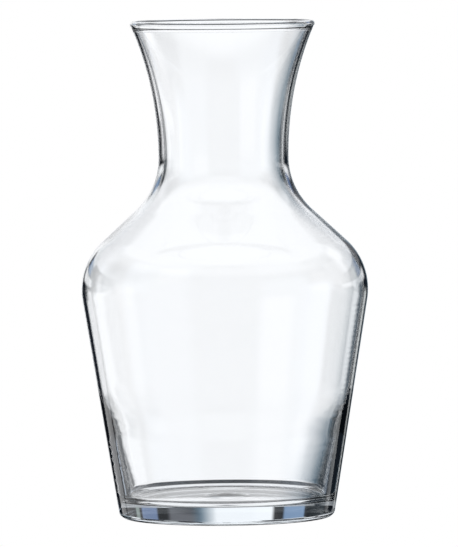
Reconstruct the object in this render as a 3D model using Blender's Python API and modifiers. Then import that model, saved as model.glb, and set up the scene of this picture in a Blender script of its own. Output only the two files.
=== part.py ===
"""A one-litre wine carafe: a single piece of clear glass, turned about the vertical axis.

Metres, +Z up. The origin is the centre of the ring that the carafe stands on.
Run it in Blender 4.5, from the text editor or with --background --python part.py.
"""

import math

import bpy

# Outside of the glass
HEIGHT = 0.2060
WAIST_RADIUS = 0.02695  # the narrowest ring of the neck
WAIST_HEIGHT = 0.1494
WAIST_ARC = 0.0291  # radius of the hollow curve from the neck into the shoulder
BELLY_RADIUS = 0.05945  # the widest ring of the body
BELLY_HEIGHT = 0.0947
BELLY_ARC = 0.0275  # radius of the round shoulder
BODY_TAPER = math.radians(9.2)  # how far the body's side leans in towards the base
HEEL_ARC = 0.0032

# Rim: a full round bead on a mouth that flares out
RIM_BEAD = 0.0014
RIM_CENTRE_RADIUS = 0.0369
BEAD_ROLL = math.radians(50.0)  # how far the bead rolls round below its widest point, on the outside
INNER_BEAD_ROLL = math.radians(60.0)  # and below its innermost point, on the inside
FLARE = math.radians(23.3)  # how far the neck leans out where it meets the bead

# Thickness of the glass
NECK_WALL = 0.0020  # at the waist; it thins from there up to the bead
BODY_WALL = 0.0015
STEP_TOP = 0.0560  # between these heights the wall thickens, on the inside
STEP_BOTTOM = 0.0340
STEP_WALL = 0.0018  # what it gains there
STEP_WALL_GAIN = 0.060  # and what it gains for each metre further down
FLOOR_HEIGHT = 0.0078
FLOOR_ARC = 0.0040  # fillet between the inner floor and the wall
PUSH_UP_RADIUS = 0.0110  # the small rise in the middle of the inner floor
PUSH_UP_HEIGHT = 0.0012

# Underside
REST_RING_WIDTH = 0.0035
UNDERSIDE_RISE = 0.0016

# How many straight pieces stand for each curve
TURN_STEPS = 56
BEAD_PIECES = 12
NECK_PIECES = 7
WAIST_PIECES = 5
BELLY_PIECES = 8
FILLET_PIECES = 4
STEP_PIECES = 4
DOME_PIECES = 4
MERGE = 0.00001  # joins the first and last turn, and the points on the axis


def clear_scene():
    for thing in list(bpy.data.objects):
        bpy.data.objects.remove(thing, do_unlink=True)


def arc(centre, radius, start, end, pieces):
    """Points on an arc, both ends included. An angle runs from the outward direction towards +Z."""
    turn = (end - start) / pieces
    return [
        (
            centre[0] + radius * math.cos(start + turn * i),
            centre[1] + radius * math.sin(start + turn * i),
        )
        for i in range(pieces + 1)
    ]


def smooth_step(share):
    share = min(max(share, 0.0), 1.0)
    return share * share * (3.0 - 2.0 * share)


def neck(mouth, waist):
    """The flare, from the mouth to just above the waist: a cubic that leans out by FLARE at the mouth."""
    rise = mouth[1] - waist[1]
    spread = mouth[0] - waist[0]
    lean = math.tan(FLARE) * rise
    points = []
    for i in range(NECK_PIECES):
        share = 1.0 - i / NECK_PIECES
        out = (3.0 * spread - lean) * share**2 + (lean - 2.0 * spread) * share**3
        points.append((waist[0] + out, waist[1] + rise * share))
    return points


def shoulder(waist_radius, waist_arc, belly_radius, belly_arc):
    """The hollow arc below the waist and the round arc over the belly, joined by their common tangent."""
    hollow = (waist_radius + waist_arc, WAIST_HEIGHT)
    round_ = (belly_radius - belly_arc, BELLY_HEIGHT)
    across = hollow[0] - round_[0]
    up = hollow[1] - round_[1]
    tangent = math.atan2(up, across) - math.acos((waist_arc + belly_arc) / math.hypot(across, up))
    above = arc(hollow, waist_arc, math.pi, math.pi + tangent, WAIST_PIECES)
    below = arc(round_, belly_arc, tangent, -BODY_TAPER, BELLY_PIECES)
    return above + below


def side_radius(belly_radius, belly_arc, height):
    """Radius of the straight side that runs on from the end of the belly's arc."""
    foot_of_arc = BELLY_HEIGHT - belly_arc * math.sin(BODY_TAPER)
    radius_there = belly_radius - belly_arc * (1.0 - math.cos(BODY_TAPER))
    return radius_there - math.tan(BODY_TAPER) * (foot_of_arc - height)


def outer_radius(height):
    return side_radius(BELLY_RADIUS, BELLY_ARC, height)


def inner_radius(height):
    straight = side_radius(BELLY_RADIUS - BODY_WALL, BELLY_ARC - BODY_WALL, height)
    share = smooth_step((STEP_TOP - height) / (STEP_TOP - STEP_BOTTOM))
    return straight - share * (STEP_WALL + STEP_WALL_GAIN * (STEP_BOTTOM - height))


def rim():
    """Over the bead, from where it meets the inside of the neck to where it meets the outside."""
    centre = (RIM_CENTRE_RADIUS, HEIGHT - RIM_BEAD)
    return arc(centre, RIM_BEAD, math.pi + INNER_BEAD_ROLL, -BEAD_ROLL, BEAD_PIECES)


def outside():
    """Down the outer side, from under the rim to the end of the heel."""
    points = neck(rim()[-1], (WAIST_RADIUS, WAIST_HEIGHT))[1:]
    points += shoulder(WAIST_RADIUS, WAIST_ARC, BELLY_RADIUS, BELLY_ARC)
    reach = HEEL_ARC * (1.0 / math.cos(BODY_TAPER) - math.tan(BODY_TAPER))
    heel_centre = (outer_radius(0.0) - reach, HEEL_ARC)
    return points + arc(heel_centre, HEEL_ARC, -BODY_TAPER, -math.pi / 2.0, FILLET_PIECES)


def inside():
    """Up the inner side, from the middle of the floor to under the rim."""
    slope = math.tan(BODY_TAPER) + STEP_WALL_GAIN
    fillet_height = FLOOR_HEIGHT + FLOOR_ARC
    fillet_centre = (
        inner_radius(fillet_height) - FLOOR_ARC * math.sqrt(1.0 + slope**2),
        fillet_height,
    )
    points = []
    for i in range(DOME_PIECES + 1):
        share = i / DOME_PIECES
        rise = PUSH_UP_HEIGHT * (1.0 - smooth_step(share))
        points.append((PUSH_UP_RADIUS * share, FLOOR_HEIGHT + rise))
    points += arc(fillet_centre, FLOOR_ARC, -math.pi / 2.0, -math.atan(slope), FILLET_PIECES)
    for i in range(STEP_PIECES + 1):
        height = STEP_BOTTOM + (STEP_TOP - STEP_BOTTOM) * i / STEP_PIECES
        points.append((inner_radius(height), height))
    wall_above = shoulder(
        WAIST_RADIUS - NECK_WALL,
        WAIST_ARC + NECK_WALL,
        BELLY_RADIUS - BODY_WALL,
        BELLY_ARC - BODY_WALL,
    )
    waist = (WAIST_RADIUS - NECK_WALL, WAIST_HEIGHT)
    return points + wall_above[::-1] + neck(rim()[0], waist)[:0:-1]


def underside(rest_edge):
    """The flat ring that the carafe stands on, and the shallow dome inside it."""
    edge = rest_edge - REST_RING_WIDTH
    sphere = (edge**2 + UNDERSIDE_RISE**2) / (2.0 * UNDERSIDE_RISE)
    half_turn = math.asin(edge / sphere)
    centre = (0.0, UNDERSIDE_RISE - sphere)
    return arc(centre, sphere, math.pi / 2.0 - half_turn, math.pi / 2.0, DOME_PIECES)


def carafe_profile():
    outer = outside()
    return inside() + rim() + outer + underside(outer[-1][0])


def clear_glass():
    material = bpy.data.materials.new("clear_glass")
    material.use_nodes = True
    shader = material.node_tree.nodes["Principled BSDF"]
    shader.inputs["Base Color"].default_value = (0.97, 0.985, 1.0, 1.0)
    shader.inputs["Metallic"].default_value = 0.0
    shader.inputs["Roughness"].default_value = 0.0
    shader.inputs["IOR"].default_value = 1.52
    shader.inputs["Transmission Weight"].default_value = 1.0
    return material


def turned_solid(name, profile, collection):
    """A solid of revolution: the profile's edges, spun round Z by a Screw modifier."""
    mesh = bpy.data.meshes.new(name)
    corners = [(radius, 0.0, height) for radius, height in profile]
    mesh.from_pydata(corners, [(i, i + 1) for i in range(len(corners) - 1)], [])
    solid = bpy.data.objects.new(name, mesh)
    collection.objects.link(solid)
    turn = solid.modifiers.new("turn", "SCREW")
    turn.axis = "Z"
    turn.angle = 2.0 * math.pi
    turn.steps = TURN_STEPS
    turn.render_steps = TURN_STEPS
    turn.use_merge_vertices = True
    turn.merge_threshold = MERGE
    turn.use_smooth_shade = True
    return solid


def build():
    clear_scene()
    collection = bpy.data.collections.new("wine_carafe")
    bpy.context.scene.collection.children.link(collection)
    carafe = turned_solid("glass_body", carafe_profile(), collection)
    carafe.data.materials.append(clear_glass())


build()
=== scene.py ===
"""A one-litre wine carafe in clear glass, on a plain pale floor in soft studio light."""

import math

import bpy
import numpy as np
from mathutils import Matrix, Vector


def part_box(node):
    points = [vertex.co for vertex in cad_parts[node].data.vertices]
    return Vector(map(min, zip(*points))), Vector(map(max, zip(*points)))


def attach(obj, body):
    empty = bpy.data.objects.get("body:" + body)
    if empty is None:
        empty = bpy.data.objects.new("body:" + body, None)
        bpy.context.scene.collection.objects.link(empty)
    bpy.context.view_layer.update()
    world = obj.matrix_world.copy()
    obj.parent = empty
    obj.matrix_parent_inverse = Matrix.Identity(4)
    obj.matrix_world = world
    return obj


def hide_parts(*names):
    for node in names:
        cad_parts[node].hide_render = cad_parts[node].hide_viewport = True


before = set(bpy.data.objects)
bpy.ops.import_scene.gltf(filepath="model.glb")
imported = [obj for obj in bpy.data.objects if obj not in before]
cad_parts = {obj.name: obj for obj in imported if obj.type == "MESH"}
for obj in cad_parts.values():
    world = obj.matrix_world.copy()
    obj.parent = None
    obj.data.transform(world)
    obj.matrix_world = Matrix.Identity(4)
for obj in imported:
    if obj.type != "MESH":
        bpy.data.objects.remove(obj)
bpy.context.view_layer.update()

MM = 0.001
WHITE = (1.0, 1.0, 1.0, 1.0)

# Outside of the glass, in metres. The height and the widest radius come from the frame.
CAD_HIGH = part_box("glass_body")[1]
HEIGHT = CAD_HIGH.z
BELLY_RADIUS = CAD_HIGH.x
BELLY_HEIGHT = 94.7 * MM
BELLY_ARC = 27.5 * MM  # radius of the round shoulder
WAIST_RADIUS = 26.95 * MM  # the narrowest ring of the neck
WAIST_HEIGHT = 149.4 * MM
WAIST_ARC = 29.1 * MM  # radius of the hollow curve from the neck into the shoulder
BODY_TAPER = math.radians(9.2)  # how far the side leans in towards the base
HEEL_ARC = 3.2 * MM  # the rounded edge at the foot

# Rim: a full round bead on a mouth that flares out
RIM_BEAD = 1.4 * MM
RIM_CENTRE_RADIUS = 36.9 * MM
BEAD_ROLL = math.radians(50.0)  # how far the bead rolls round below its widest point, on the outside
INNER_BEAD_ROLL = math.radians(60.0)  # and below its innermost point, on the inside
FLARE = math.radians(23.3)  # how far the neck leans out where it meets the bead

# Thickness of the glass
NECK_WALL = 2.0 * MM  # at the waist; it thins from there up to the bead
BODY_WALL = 1.5 * MM
STEP_TOP = 56.0 * MM  # between these heights the wall thickens, on the inside
STEP_BOTTOM = 34.0 * MM
STEP_WALL = 1.8 * MM  # what it gains there
STEP_WALL_GAIN = 0.060  # and what it gains for each metre further down
FLOOR_HEIGHT = 7.8 * MM
FLOOR_ARC = 4.0 * MM  # fillet between the inner floor and the wall
PUSH_UP_RADIUS = 11.0 * MM  # the small rise in the middle of the inner floor
PUSH_UP_HEIGHT = 1.2 * MM
REST_RING_WIDTH = 3.5 * MM  # the flat ring that the carafe stands on
UNDERSIDE_RISE = 1.6 * MM  # the shallow dome inside that ring

# Shallow waves that the mould leaves on the inside: uneven rings low down at both sides,
RING_DEPTH = 0.008 * MM
RING_LENGTH = 4.6 * MM
FINE_RING_LENGTH = 2.7 * MM
RING_BOTTOM = 17.0 * MM
RING_TOP = 46.0 * MM
RING_FADE = 8.0 * MM
RING_SIDES = (0.6, 0.9)  # cosine of the turn away from a side, where the rings begin and where they are full
WANDER_LENGTH = 40.0 * MM  # over this height the rings' wandering repeats
PATCH_LENGTH = 17.0 * MM  # and over this one their stronger and weaker patches
# slanting teeth above them, on the right only,
TEETH_DEPTH = 0.009 * MM
TEETH_LENGTH = 2.2 * MM
TEETH_SLANT = 9.0  # radians of a wave for each radian of turn
TEETH_BOTTOM = 45.0 * MM
TEETH_TOP = 90.0 * MM
TEETH_FADE = 6.0 * MM
TEETH_SIDE = (0.88, 0.93)  # as for the rings
# and faint rings on the floor round the push-up.
FLOOR_RING_DEPTH = 0.010 * MM
FLOOR_RING_LENGTH = 5.2 * MM
FLOOR_RING_START = 14.0 * MM
FLOOR_RING_END = 25.0 * MM
FLOOR_RING_FADE = 6.0 * MM

# How finely the glass is cut: steps of a full turn, pieces of each curve, and spacing along the straight runs
TURN_STEPS = 200
BEAD_PIECES = 28
NECK_PIECES = 40
WAIST_PIECES = 20
BELLY_PIECES = 28
HEEL_PIECES = 12
PUSH_UP_PIECES = 16
FLOOR_ARC_PIECES = 14
DOME_PIECES = 20
SHOULDER_SPACING = 2.5 * MM
SIDE_SPACING = 3.0 * MM
INNER_SIDE_SPACING = 0.6 * MM
FLOOR_SPACING = 0.8 * MM
REST_RING_SPACING = 1.0 * MM

# The glass: its refraction, and a faint blue tint that grows with its thickness
GLASS_IOR = 1.52
TINT = (0.72, 0.88, 1.0, 1.0)
TINT_DENSITY = 3.0


def ramp(value, start, full):
    """Rises smoothly from 0 at start to 1 at full."""
    share = np.clip((value - start) / (full - start), 0.0, 1.0)
    return share * share * (3.0 - 2.0 * share)


def window(value, low, high, soft):
    """1 between low and high, falling smoothly to 0 over soft outside them."""
    return ramp(value, low - soft, low) * ramp(value, high + soft, high)


def arc(centre, radius, start, end, pieces):
    """Points on an arc, both ends included. An angle runs from the outward direction towards +Z."""
    turn = (end - start) / pieces
    return [
        (centre[0] + radius * math.cos(start + turn * i), centre[1] + radius * math.sin(start + turn * i))
        for i in range(pieces + 1)
    ]


def straight(start, end, spacing):
    """Points on a straight line about this far apart, both ends included."""
    pieces = max(1, round(math.dist(start, end) / spacing))
    return [
        (start[0] + (end[0] - start[0]) * i / pieces, start[1] + (end[1] - start[1]) * i / pieces)
        for i in range(pieces + 1)
    ]


def neck(mouth, waist):
    """The flare, from the mouth to just above the waist: a cubic that leans out by FLARE at the mouth."""
    rise = mouth[1] - waist[1]
    spread = mouth[0] - waist[0]
    lean = math.tan(FLARE) * rise
    points = []
    for i in range(NECK_PIECES):
        share = 1.0 - i / NECK_PIECES
        out = (3.0 * spread - lean) * share**2 + (lean - 2.0 * spread) * share**3
        points.append((waist[0] + out, waist[1] + rise * share))
    return points


def shoulder(waist_radius, waist_arc, belly_radius, belly_arc):
    """The hollow arc below the waist and the round arc over the belly, joined by their common tangent."""
    hollow = (waist_radius + waist_arc, WAIST_HEIGHT)
    round_ = (belly_radius - belly_arc, BELLY_HEIGHT)
    across = hollow[0] - round_[0]
    up = hollow[1] - round_[1]
    tangent = math.atan2(up, across) - math.acos((waist_arc + belly_arc) / math.hypot(across, up))
    above = arc(hollow, waist_arc, math.pi, math.pi + tangent, WAIST_PIECES)
    below = arc(round_, belly_arc, tangent, -BODY_TAPER, BELLY_PIECES)
    return above + straight(above[-1], below[0], SHOULDER_SPACING)[1:-1] + below


def side_radius(belly_radius, belly_arc, height):
    """Radius of the straight side that runs on from the end of the belly's arc."""
    foot_of_arc = BELLY_HEIGHT - belly_arc * math.sin(BODY_TAPER)
    radius_there = belly_radius - belly_arc * (1.0 - math.cos(BODY_TAPER))
    return radius_there - math.tan(BODY_TAPER) * (foot_of_arc - height)


def outer_radius(height):
    return side_radius(BELLY_RADIUS, BELLY_ARC, height)


def inner_radius(height):
    plain = side_radius(BELLY_RADIUS - BODY_WALL, BELLY_ARC - BODY_WALL, height)
    return plain - ramp(height, STEP_TOP, STEP_BOTTOM) * (STEP_WALL + STEP_WALL_GAIN * (STEP_BOTTOM - height))


def rim():
    """Over the bead, from where it meets the inside of the neck to where it meets the outside."""
    centre = (RIM_CENTRE_RADIUS, HEIGHT - RIM_BEAD)
    return arc(centre, RIM_BEAD, math.pi + INNER_BEAD_ROLL, -BEAD_ROLL, BEAD_PIECES)


def outside():
    """Down the outer side, from under the rim to the end of the heel."""
    points = neck(rim()[-1], (WAIST_RADIUS, WAIST_HEIGHT))[1:]
    points += shoulder(WAIST_RADIUS, WAIST_ARC, BELLY_RADIUS, BELLY_ARC)
    reach = HEEL_ARC * (1.0 / math.cos(BODY_TAPER) - math.tan(BODY_TAPER))
    heel_centre = (outer_radius(0.0) - reach, HEEL_ARC)
    heel = arc(heel_centre, HEEL_ARC, -BODY_TAPER, -math.pi / 2.0, HEEL_PIECES)
    return points + straight(points[-1], heel[0], SIDE_SPACING)[1:-1] + heel


def inner_floor():
    """From the middle of the push-up out to the end of the fillet."""
    points = []
    for i in range(PUSH_UP_PIECES + 1):
        share = i / PUSH_UP_PIECES
        points.append((PUSH_UP_RADIUS * share, FLOOR_HEIGHT + PUSH_UP_HEIGHT * (1.0 - ramp(share, 0.0, 1.0))))
    slope = math.tan(BODY_TAPER) + STEP_WALL_GAIN
    height = FLOOR_HEIGHT + FLOOR_ARC
    centre = (inner_radius(height) - FLOOR_ARC * math.sqrt(1.0 + slope**2), height)
    fillet = arc(centre, FLOOR_ARC, -math.pi / 2.0, -math.atan(slope), FLOOR_ARC_PIECES)
    return points + straight(points[-1], fillet[0], FLOOR_SPACING)[1:-1] + fillet


def inside():
    """Up the inner side, from the middle of the floor to under the rim."""
    points = inner_floor()
    above = shoulder(
        WAIST_RADIUS - NECK_WALL,
        WAIST_ARC + NECK_WALL,
        BELLY_RADIUS - BODY_WALL,
        BELLY_ARC - BODY_WALL,
    )[::-1]
    bottom = points[-1][1]
    rise = above[0][1] - bottom
    rows = round(rise / INNER_SIDE_SPACING)
    for i in range(1, rows):
        height = bottom + rise * i / rows
        points.append((inner_radius(height), height))
    waist = (WAIST_RADIUS - NECK_WALL, WAIST_HEIGHT)
    return points + above + neck(rim()[0], waist)[:0:-1]


def underside(rest_edge):
    """The flat ring that the carafe stands on, and the shallow dome inside it."""
    edge = rest_edge - REST_RING_WIDTH
    sphere = (edge**2 + UNDERSIDE_RISE**2) / (2.0 * UNDERSIDE_RISE)
    half_turn = math.asin(edge / sphere)
    centre = (0.0, UNDERSIDE_RISE - sphere)
    dome = arc(centre, sphere, math.pi / 2.0 - half_turn, math.pi / 2.0, DOME_PIECES)
    return straight((rest_edge, 0.0), dome[0], REST_RING_SPACING)[1:-1] + dome


def wave(distance, length, shift):
    """A sine wave of this length, shifted by an angle."""
    return np.sin(2.0 * math.pi * distance / length + shift)


def wall_waves(height, turn):
    """How far the inside of the wall stands off its plain curve. Turn 0 is the right side."""
    # The plain numbers make the waves uneven: how far they wander, in radians, and how often round the turn.
    wander = 1.1 * np.sin(3.0 * turn + 0.6) + 0.7 * wave(height, WANDER_LENGTH, 7.0 * turn)
    rings = wave(height, RING_LENGTH, wander) + 0.6 * wave(height, FINE_RING_LENGTH, -1.7 * wander)
    patches = 0.65 + 0.35 * wave(height, PATCH_LENGTH, 5.0 * turn)
    rings *= patches * ramp(np.abs(np.cos(turn)), *RING_SIDES)
    rings *= window(height, RING_BOTTOM, RING_TOP, RING_FADE)
    teeth = wave(height, TEETH_LENGTH, TEETH_SLANT * turn) * ramp(np.cos(turn), *TEETH_SIDE)
    teeth *= window(height, TEETH_BOTTOM, TEETH_TOP, TEETH_FADE)
    return RING_DEPTH * rings + TEETH_DEPTH * teeth


def floor_waves(radius, turn):
    """How far the inner floor stands off its plain curve. Its rings aren't quite centred."""
    drift = 0.8 * np.sin(turn + 0.7) + 0.5 * np.sin(3.0 * turn)
    rings = wave(radius, FLOOR_RING_LENGTH, drift)
    return FLOOR_RING_DEPTH * rings * window(radius, FLOOR_RING_START, FLOOR_RING_END, FLOOR_RING_FADE)


def turned_points(profile, inner_rows, turn):
    """Where the profile's points come at each turn, with the waves on those that are on the inside."""
    radius, height = np.array(profile).T
    radius, height = np.broadcast_arrays(radius[:, None], height[:, None], turn)[:2]
    inner = (np.arange(len(profile)) < inner_rows)[:, None]
    on_floor = inner & (height < FLOOR_HEIGHT + PUSH_UP_HEIGHT)
    radius = radius + np.where(inner & ~on_floor, wall_waves(height, turn), 0.0)
    height = height + np.where(on_floor, floor_waves(radius, turn), 0.0)
    return np.stack([radius * np.cos(turn), radius * np.sin(turn), height], axis=2)


def glass_mesh():
    """One closed surface. The profile starts and ends on the axis, and the points between turn into rings."""
    inner = inside()
    outer = outside()
    profile = inner + rim() + outer + underside(outer[-1][0])
    turn = np.arange(TURN_STEPS) * 2.0 * math.pi / TURN_STEPS
    rings = turned_points(profile[1:-1], len(inner) - 1, turn)
    points = [tuple(p) for p in rings.reshape(-1, 3)]
    first = len(points)
    last = first + 1
    end = first - TURN_STEPS
    points += [(0.0, 0.0, profile[0][1]), (0.0, 0.0, profile[-1][1])]
    faces = []
    for low in range(0, end, TURN_STEPS):
        high = low + TURN_STEPS
        for i in range(TURN_STEPS):
            j = (i + 1) % TURN_STEPS
            faces.append((low + j, low + i, high + i, high + j))
    for i in range(TURN_STEPS):
        j = (i + 1) % TURN_STEPS
        faces.append((first, i, j))
        faces.append((last, end + j, end + i))
    mesh = bpy.data.meshes.new("carafe_glass")
    mesh.from_pydata(points, [], faces)
    mesh.shade_smooth()
    mesh.update()
    return mesh


def clear_glass():
    material = bpy.data.materials.new("clear_glass")
    material.use_nodes = True
    tree = material.node_tree
    shader = tree.nodes["Principled BSDF"]
    shader.inputs["Base Color"].default_value = WHITE
    shader.inputs["Roughness"].default_value = 0.0
    shader.inputs["IOR"].default_value = GLASS_IOR
    shader.inputs["Transmission Weight"].default_value = 1.0
    tint = tree.nodes.new("ShaderNodeVolumeAbsorption")
    tint.inputs["Color"].default_value = TINT
    tint.inputs["Density"].default_value = TINT_DENSITY
    tree.links.new(tint.outputs["Volume"], tree.nodes["Material Output"].inputs["Volume"])
    return material


# The studio, by direction from the carafe, in degrees. Azimuth 0 is behind the carafe and 90 is on its right;
# pitch is above the horizon. A panel is painted over those before it, and what no panel covers is dark.
GAP_COLOUR = (0.010, 0.014, 0.020)
PANELS = (
    # name, azimuth and pitch (centre, half width, softness), colour
    # all round
    ("ceiling", (0.0, 200.0, 5.0), (68.0, 36.0, 8.0), (0.86, 0.88, 0.90)),
    ("table", (0.0, 200.0, 5.0), (-66.0, 28.0, 3.0), (0.92, 0.94, 0.97)),
    ("under_table", (0.0, 15.0, 6.0), (-76.0, 12.0, 4.0), (0.22, 0.23, 0.25)),
    ("left_wall", (-95.0, 42.0, 8.0), (-7.0, 23.0, 5.0), (0.50, 0.52, 0.54)),
    ("front_left", (-132.0, 24.0, 8.0), (-8.0, 34.0, 10.0), (0.55, 0.57, 0.60)),
    ("front_right", (132.0, 26.0, 8.0), (-8.0, 34.0, 10.0), (0.60, 0.66, 0.72)),
    ("camera_side", (180.0, 30.0, 8.0), (0.0, 34.0, 10.0), (0.42, 0.44, 0.46)),
    ("window", (98.0, 14.0, 8.0), (-12.0, 24.0, 6.0), (0.85, 0.95, 1.08)),
    ("right_wall", (66.0, 14.0, 3.0), (-10.0, 10.0, 3.0), (0.30, 0.36, 0.40)),
    # behind, on the left and the right: soft boxes and strips, with flags that draw the dark edges
    ("left_softbox", (-54.0, 25.5, 1.5), (-14.5, 12.5, 1.5), (1.02, 1.03, 1.05)),
    ("left_edge_flag", (-30.0, 4.5, 1.0), (-3.0, 4.0, 1.0), (0.015, 0.016, 0.018)),
    ("left_flag", (-44.5, 1.5, 0.8), (-6.0, 7.0, 1.5), (0.20, 0.20, 0.20)),
    ("left_low_flag", (-37.5, 9.5, 1.2), (-21.0, 7.5, 1.2), (0.03, 0.035, 0.04)),
    ("left_low_strip", (-34.0, 1.5, 1.0), (-16.5, 2.5, 1.0), (0.36, 0.42, 0.50)),
    ("right_strip", (46.5, 4.5, 1.5), (-5.0, 8.0, 2.0), (0.95, 0.98, 1.00)),
    ("right_reed", (22.0, 3.4, 1.2), (-6.5, 3.0, 1.5), (0.62, 0.65, 0.66)),
    ("right_low_panel", (44.0, 5.0, 2.0), (-18.0, 3.0, 1.5), (0.20, 0.24, 0.30)),
    # light across the right at the carafe's level, and light above it
    ("across_light", (46.0, 24.0, 3.0), (3.0, 2.0, 1.0), (0.85, 0.87, 0.90)),
    ("upper_light", (0.0, 60.0, 8.0), (26.5, 13.5, 2.0), (0.98, 1.00, 1.04)),
    # the dark shelf that the thick base shows, with what stands on it, and the light over and under it
    ("shelf", (0.0, 79.0, 2.0), (9.6, 4.4, 0.8), (0.010, 0.012, 0.015)),
    ("shelf_green", (44.5, 1.8, 0.8), (9.6, 4.4, 0.8), (0.24, 0.29, 0.27)),
    ("shelf_blue_right", (35.0, 5.5, 0.8), (9.6, 4.4, 0.8), (0.16, 0.22, 0.36)),
    ("shelf_grey", (15.5, 7.5, 1.5), (9.6, 4.4, 0.8), (0.14, 0.145, 0.16)),
    ("shelf_blue_left", (-28.5, 6.0, 0.8), (9.6, 4.4, 0.8), (0.20, 0.30, 0.46)),
    ("over_shelf", (-23.0, 13.0, 1.0), (14.2, 3.6, 1.2), (0.90, 0.93, 0.96)),
    ("under_shelf", (-30.0, 12.0, 1.0), (2.4, 2.2, 0.8), (0.90, 0.92, 0.94)),
    # the white backdrop straight behind, and the shade along its edges
    ("backdrop_shade", (0.0, 11.0, 3.0), (0.5, 17.0, 1.5), (0.11, 0.18, 0.24)),
    ("backdrop_fade", (0.3, 6.0, 4.6), (5.5, 23.5, 2.0), (1.01, 1.025, 1.045)),
    ("backdrop", (-4.2, 8.2, 1.2), (5.5, 23.5, 2.0), (1.01, 1.025, 1.045)),
    ("backdrop_wing", (-12.0, 5.5, 1.0), (10.0, 7.0, 2.0), (1.01, 1.025, 1.045)),
    # small bright windows: on the left, low on the left, and in front on the right
    ("side_window", (-90.0, 11.0, 4.0), (-5.0, 14.0, 5.0), (1.0, 1.0, 1.0)),
    ("side_table", (-45.0, 11.0, 4.0), (-30.0, 6.0, 2.0), (1.0, 1.0, 1.0)),
    ("front_window", (135.0, 14.0, 5.0), (-17.0, 13.0, 6.0), (1.0, 1.02, 1.05)),
)


def node(tree, kind, **settings):
    made = tree.nodes.new(kind)
    for name, value in settings.items():
        setattr(made, name, value)
    return made


def feed(tree, socket, value):
    """Links a socket to another one, or sets it to a plain value."""
    if isinstance(value, bpy.types.NodeSocket):
        tree.links.new(value, socket)
    else:
        socket.default_value = value


def math_node(tree, operation, *values):
    made = node(tree, "ShaderNodeMath", operation=operation)
    for socket, value in zip(made.inputs, values):
        feed(tree, socket, value)
    return made.outputs["Value"]


def colour_mix(tree, label, factor, first, second):
    """Goes from the first colour to the second. Colour sockets share their names, so they go by number."""
    mix = node(tree, "ShaderNodeMix", data_type="RGBA", label=label)
    feed(tree, mix.inputs["Factor"], factor)
    feed(tree, mix.inputs[6], first)
    feed(tree, mix.inputs[7], second)
    return mix.outputs[2]


def band_mask(tree, offset, half, soft):
    """1 inside a panel's edge and 0 outside it. The change takes soft on both sides of the edge."""
    mask = node(tree, "ShaderNodeMapRange", interpolation_type="SMOOTHSTEP")
    feed(tree, mask.inputs["Value"], math_node(tree, "ABSOLUTE", offset))
    feed(tree, mask.inputs["From Min"], half + soft)
    feed(tree, mask.inputs["From Max"], half - soft)
    return mask.outputs["Result"]


def studio_ring():
    """A node group that gives the studio's colour in a direction."""
    tree = bpy.data.node_groups.new("studio_ring", "ShaderNodeTree")
    tree.interface.new_socket("Direction", in_out="INPUT", socket_type="NodeSocketVector")
    tree.interface.new_socket("Colour", in_out="OUTPUT", socket_type="NodeSocketColor")
    given = node(tree, "NodeGroupInput")
    result = node(tree, "NodeGroupOutput")
    parts = node(tree, "ShaderNodeSeparateXYZ")
    feed(tree, parts.inputs["Vector"], given.outputs["Direction"])
    azimuth = math_node(tree, "DEGREES", math_node(tree, "ARCTAN2", parts.outputs["X"], parts.outputs["Y"]))
    pitch = math_node(tree, "DEGREES", math_node(tree, "ARCSINE", parts.outputs["Z"]))
    colour = (*GAP_COLOUR, 1.0)
    for name, (side, side_half, side_soft), (rise, rise_half, rise_soft), paint in PANELS:
        aside = math_node(tree, "WRAP", math_node(tree, "SUBTRACT", azimuth, side), 180.0, -180.0)
        above = math_node(tree, "SUBTRACT", pitch, rise)
        across = band_mask(tree, aside, side_half, side_soft)
        upright = band_mask(tree, above, rise_half, rise_soft)
        mask = math_node(tree, "MULTIPLY", across, upright)
        colour = colour_mix(tree, name, mask, colour, (*paint, 1.0))
    feed(tree, result.inputs["Colour"], colour)
    return tree


def studio_world():
    """Camera rays see plain white, and rays that have met the glass see the studio."""
    world = bpy.data.worlds.new("studio")
    bpy.context.scene.world = world
    world.use_nodes = True
    tree = world.node_tree
    where = node(tree, "ShaderNodeTexCoord")
    ring = node(tree, "ShaderNodeGroup", node_tree=studio_ring())
    feed(tree, ring.inputs["Direction"], where.outputs["Generated"])
    path = node(tree, "ShaderNodeLightPath")
    seen = colour_mix(tree, "seen", path.outputs["Is Camera Ray"], ring.outputs["Colour"], WHITE)
    feed(tree, tree.nodes["Background"].inputs["Color"], seen)


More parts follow.
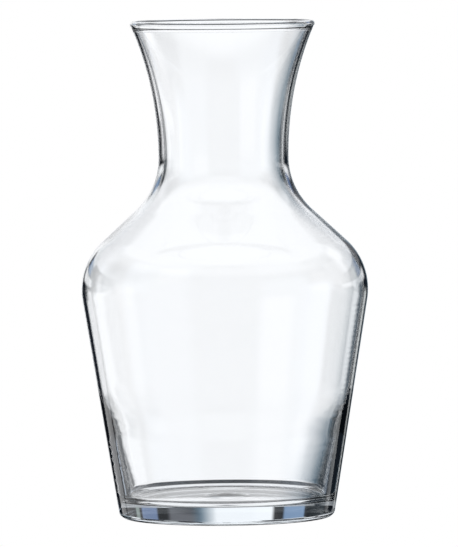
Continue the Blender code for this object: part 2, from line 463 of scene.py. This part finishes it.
# The studio's floor lies just under the carafe. Past its edge the world is just as white.
STUDIO_FLOOR_SIZE = 12.0
STUDIO_FLOOR_HEIGHT = -0.1 * MM


def studio_floor():
    """A white floor without shadow. The glass sees the studio's own table instead."""
    bpy.ops.mesh.primitive_plane_add(size=STUDIO_FLOOR_SIZE, location=(0.0, 0.0, STUDIO_FLOOR_HEIGHT))
    floor = bpy.context.object
    floor.name = "studio_floor"
    floor.visible_transmission = False
    floor.visible_glossy = False
    floor.visible_shadow = False
    material = bpy.data.materials.new("studio_floor")
    material.use_nodes = True
    tree = material.node_tree
    tree.nodes.remove(tree.nodes["Principled BSDF"])
    glow = node(tree, "ShaderNodeEmission")
    feed(tree, glow.inputs["Color"], WHITE)
    feed(tree, tree.nodes["Material Output"].inputs["Surface"], glow.outputs["Emission"])
    floor.data.materials.append(material)


# Camera: far back and a little above the rim, as a long lens sees the carafe on a table.
CAMERA_DISTANCE = 3.245
CAMERA_HEIGHT = 0.2855
AIM = Vector((1.8 * MM, 0.0, 101.2 * MM))
FRAME_LONG_SIDE = 0.2267  # how much of the scene the picture's long side takes in at the carafe
SENSOR = 36.0  # in millimetres, as Blender has it
ROLL = math.radians(0.57)  # the camera leans a little to one side


def long_lens_camera():
    data = bpy.data.cameras.new("camera")
    data.sensor_width = SENSOR
    camera = bpy.data.objects.new("camera", data)
    bpy.context.scene.collection.objects.link(camera)
    place = Vector((0.0, -CAMERA_DISTANCE, CAMERA_HEIGHT))
    look = AIM - place
    data.lens = SENSOR * look.length / FRAME_LONG_SIDE
    turn = look.to_track_quat("-Z", "Y").to_matrix().to_4x4()
    camera.matrix_world = Matrix.Translation(place) @ turn @ Matrix.Rotation(-ROLL, 4, "Z")
    bpy.context.scene.camera = camera


def carafe():
    piece = bpy.data.objects.new("carafe_glass", glass_mesh())
    bpy.context.scene.collection.objects.link(piece)
    piece.data.materials.append(clear_glass())
    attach(piece, "root")
    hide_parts("glass_body")


bpy.context.scene.view_settings.view_transform = "Standard"
long_lens_camera()
carafe()
studio_world()
studio_floor()

bpy.context.view_layer.update()
